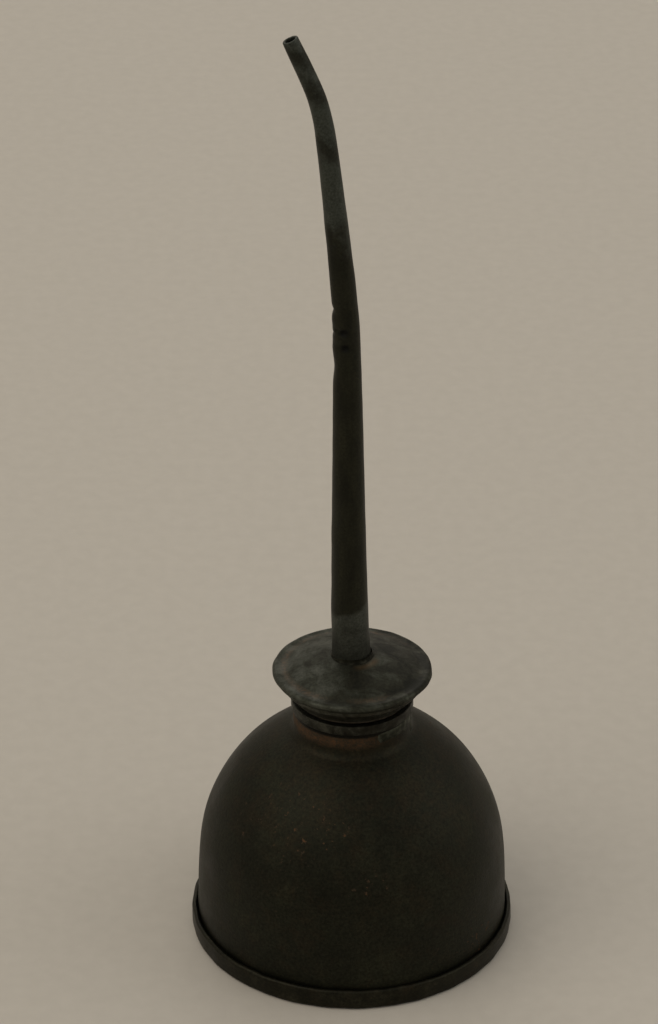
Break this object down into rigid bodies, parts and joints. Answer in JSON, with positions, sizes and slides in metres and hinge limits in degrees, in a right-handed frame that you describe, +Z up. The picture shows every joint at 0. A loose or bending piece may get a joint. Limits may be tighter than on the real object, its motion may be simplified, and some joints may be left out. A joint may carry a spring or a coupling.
{
  "type": "bottom-press oiler can",
  "caption": "Small drawn-steel oiler can with a flexing bottom, rolled foot seam, screw cap with washer, and a long tapered spout bent near its tip.",
  "frame": {"origin": "centre of the flat face under the rolled rim, on the body's axis", "axes": "+Z up along the body's axis; the spout's tip leans towards -X"},
  "size_m": [0.0476, 0.0476, 0.1414],
  "materials": {
    "body_steel": "browned steel under old dark oil film, with sparse rust flecks",
    "rim_steel": "browned steel, worn greyer on the bead",
    "bottom_steel": "dull browned spring steel",
    "bushing_zinc": "dull tarnished plating",
    "cap_zinc": "dull grey tarnished plating with faint rust",
    "solder": "dull grey soft solder",
    "spout_steel": "worn tinned steel, dark brown with grey-green worn stretches",
    "gasket_leather": "oil-soaked leather"
  },
  "bodies": {
    "can": {"body_shell": "body_steel", "bottom_rim": "rim_steel", "bottom_diaphragm": "bottom_steel", "neck_ring": "bushing_zinc", "neck_solder": "solder"},
    "pump_bottom": {"press_panel": "bottom_steel"},
    "washer": {"gasket": "gasket_leather"},
    "spout_cap": {"cap_screw_shell": "bushing_zinc", "cap_top_plate": "cap_zinc", "spout_tube": "spout_steel", "spout_solder": "solder"}
  },
  "joints": [
    {"name": "bottom_press", "type": "slide", "parent": "can", "child": "pump_bottom", "axis": [0, 0, 1], "range_m": [0, 0.0022], "stiffness_N_per_m": 8000, "deforming": ["bottom_diaphragm"]},
    {"name": "cap_lift", "type": "slide", "parent": "can", "child": "washer", "axis": [0, 0, 1], "range_m": [0, 0.00385]},
    {"name": "cap_spin", "type": "hinge", "parent": "washer", "child": "spout_cap", "pos_m": [0, 0, 0.042], "axis": [0, 0, 1], "range_deg": [0, 1080]}
  ],
  "couplings": [
    {"joint": "cap_lift", "follows": "cap_spin", "m_per_rad": 0.00020213}
  ]
}
